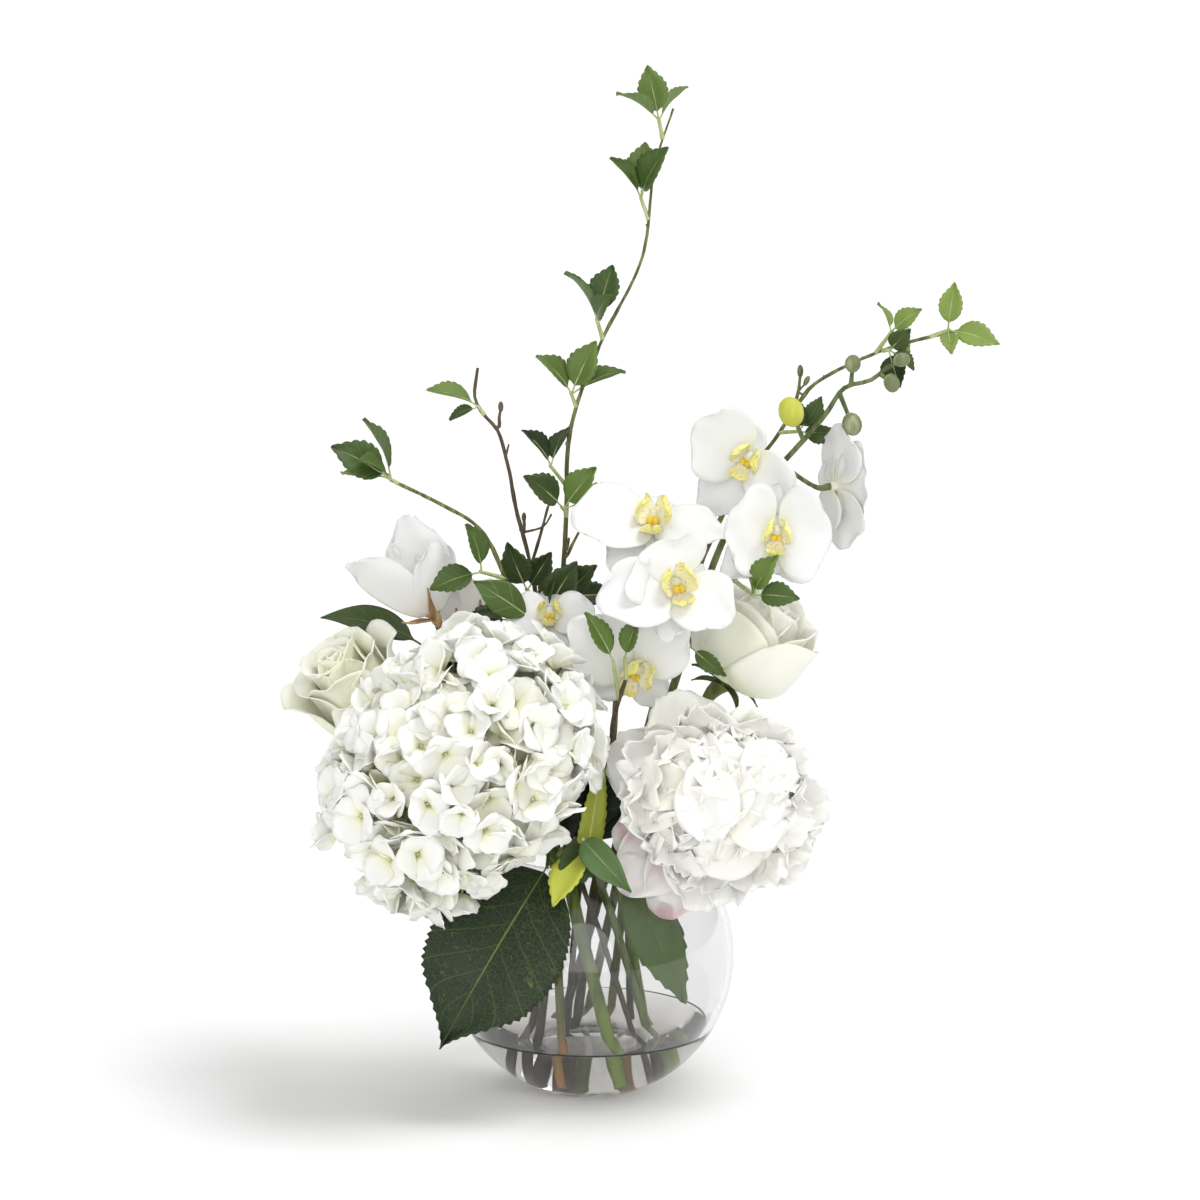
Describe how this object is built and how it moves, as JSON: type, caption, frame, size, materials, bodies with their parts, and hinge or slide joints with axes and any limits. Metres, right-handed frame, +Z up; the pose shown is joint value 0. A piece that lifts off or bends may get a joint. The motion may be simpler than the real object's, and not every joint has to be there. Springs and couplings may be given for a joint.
{
  "type": "floral table centerpiece",
  "caption": "Fresh flower arrangement in a round clear glass bowl: white hydrangea, peony, roses, moth orchids and magnolia with tall leafy branches, standing in a little water.",
  "frame": {"origin": "middle of the glass bowl's flat foot, on the table", "axes": "+Z up; the front, where the hydrangea and the peony are, faces -Y; the long side branch points to +X"},
  "size_m": [0.4447, 0.2397, 0.633],
  "materials": {
    "glass": "clear and polished",
    "water": "clear liquid",
    "white_petal": "soft, faintly translucent petal",
    "cream_petal": "soft petal, cream with a little green",
    "orchid_lip": "waxy, yellow with red-brown specks",
    "dark_stem_and_leaf": "matte dark-green leaf on a green-brown stem",
    "bark": "matte bark with orange-brown scales",
    "orchid_stem": "satin green stem with yellow-green buds",
    "leafy_branch": "fresh-green leaves on an olive-brown branch"
  },
  "bodies": {
    "root": {"glass_bowl": "glass", "water": "water", "hydrangea_head": "white_petal", "hydrangea_stem": "dark_stem_and_leaf", "peony_bloom": "white_petal", "peony_stem": "dark_stem_and_leaf", "rose_left_bloom": "cream_petal", "rose_left_stem": "dark_stem_and_leaf", "rose_right_bloom": "cream_petal", "rose_right_stem": "dark_stem_and_leaf", "magnolia_front_bloom": "white_petal", "magnolia_behind_bloom": "white_petal", "magnolia_stem": "bark", "orchid_top_bloom": "white_petal", "orchid_top_lip": "orchid_lip", "orchid_right_bloom": "white_petal", "orchid_right_lip": "orchid_lip", "orchid_left_bloom": "white_petal", "orchid_left_lip": "orchid_lip", "orchid_middle_bloom": "white_petal", "orchid_middle_lip": "orchid_lip", "orchid_side_bloom": "white_petal", "orchid_side_lip": "orchid_lip", "orchid_low_bloom": "white_petal", "orchid_low_lip": "orchid_lip", "orchid_hidden_bloom": "white_petal", "orchid_hidden_lip": "orchid_lip", "orchid_right_stem": "orchid_stem", "orchid_left_stem": "orchid_stem", "front_twig": "leafy_branch", "tall_branch": "leafy_branch", "left_branch": "leafy_branch", "left_twig": "leafy_branch", "right_branch": "leafy_branch", "right_low_branch": "leafy_branch"}
  },
  "joints": []
}
